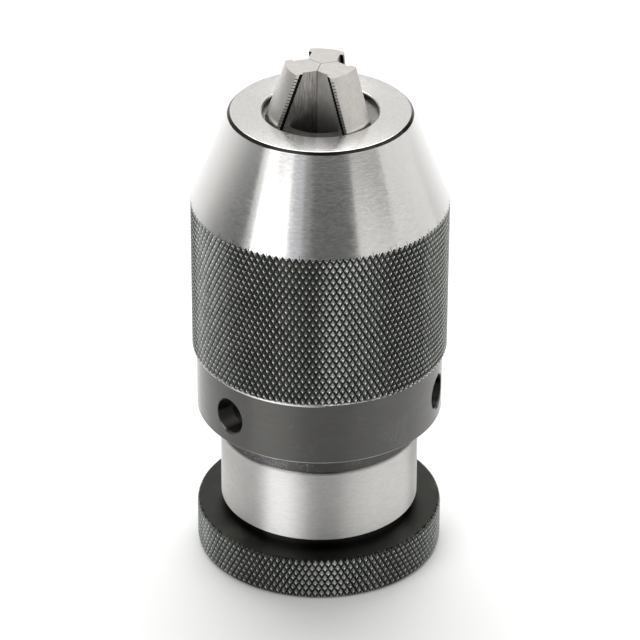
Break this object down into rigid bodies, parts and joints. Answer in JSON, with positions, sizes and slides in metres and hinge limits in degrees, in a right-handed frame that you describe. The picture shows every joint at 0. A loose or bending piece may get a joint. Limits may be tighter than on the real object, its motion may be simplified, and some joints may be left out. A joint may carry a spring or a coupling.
{
  "type": "drill chuck",
  "caption": "Keyless precision drill chuck: a turning knurled sleeve with a ground cone nose, three sliding jaws, and a body with a knurled grip ring and a rear taper socket.",
  "frame": {"origin": "centre of the grip ring's back face, on the axis", "axes": "+Z along the axis from the grip ring towards the jaws; +X to the right seen from the front"},
  "size_m": [0.057, 0.057, 0.1198],
  "materials": {
    "ground_steel": "ground, fine grain round the axis",
    "hood_steel": "ground cone and nose face over a blackened diamond knurl",
    "black_oxide_knurl": "black oxide on a diamond knurl, worn bright on the crests",
    "black_oxide": "smooth black oxide, satin",
    "turned_steel": "turned, darkened steel",
    "jaw_steel": "hardened, ground, warm grey",
    "plain_steel": "machined",
    "bearing_steel": "polished",
    "spring_steel": "plain",
    "bronze": "machined",
    "cage_brass": "machined",
    "seal_rubber": "matt"
  },
  "bodies": {
    "body": {"body_core": "ground_steel", "grip_ring": "black_oxide_knurl", "feed_nut": "bronze", "upper_race": "bearing_steel", "thrust_ring": "plain_steel", "retaining_clip": "spring_steel", "dust_seal": "seal_rubber"},
    "sleeve": {"hood": "hood_steel", "collar": "black_oxide", "dust_cover": "turned_steel", "bearing_shim": "bearing_steel", "lower_race": "bearing_steel", "jaw_guide": "plain_steel", "guide_pins": "bearing_steel"},
    "cage": {"ball_cage": "cage_brass", "bearing_balls": "bearing_steel"},
    "screw": {"feed_screw": "plain_steel"},
    "jaw_1": {"jaw_1": "jaw_steel"},
    "jaw_2": {"jaw_2": "jaw_steel"},
    "jaw_3": {"jaw_3": "jaw_steel"}
  },
  "joints": [
    {"name": "sleeve_turn", "type": "hinge", "parent": "body", "child": "sleeve", "pos_m": [0, 0, 0], "axis": [0, 0, 1], "range_deg": [0, 1978.2]},
    {"name": "cage_turn", "type": "hinge", "parent": "body", "child": "cage", "pos_m": [0, 0, 0], "axis": [0, 0, 1], "range_deg": [0, 990.1]},
    {"name": "screw_feed", "type": "slide", "parent": "sleeve", "child": "screw", "axis": [0, 0, -1], "range_m": [0, 0.02199]},
    {"name": "jaw_1_slide", "type": "slide", "parent": "sleeve", "child": "jaw_1", "axis": [0.0711, 0.3345, -0.9397], "range_m": [0, 0.0234]},
    {"name": "jaw_2_slide", "type": "slide", "parent": "sleeve", "child": "jaw_2", "axis": [-0.3253, -0.1057, -0.9397], "range_m": [0, 0.0234]},
    {"name": "jaw_3_slide", "type": "slide", "parent": "sleeve", "child": "jaw_3", "axis": [0.2542, -0.2289, -0.9397], "range_m": [0, 0.0234]}
  ],
  "couplings": [
    {"joint": "cage_turn", "follows": "sleeve_turn", "ratio": 0.5},
    {"joint": "screw_feed", "follows": "sleeve_turn", "m_per_rad": 0.00063662},
    {"joint": "jaw_1_slide", "follows": "sleeve_turn", "m_per_rad": 0.00067748},
    {"joint": "jaw_2_slide", "follows": "sleeve_turn", "m_per_rad": 0.00067748},
    {"joint": "jaw_3_slide", "follows": "sleeve_turn", "m_per_rad": 0.00067748}
  ]
}
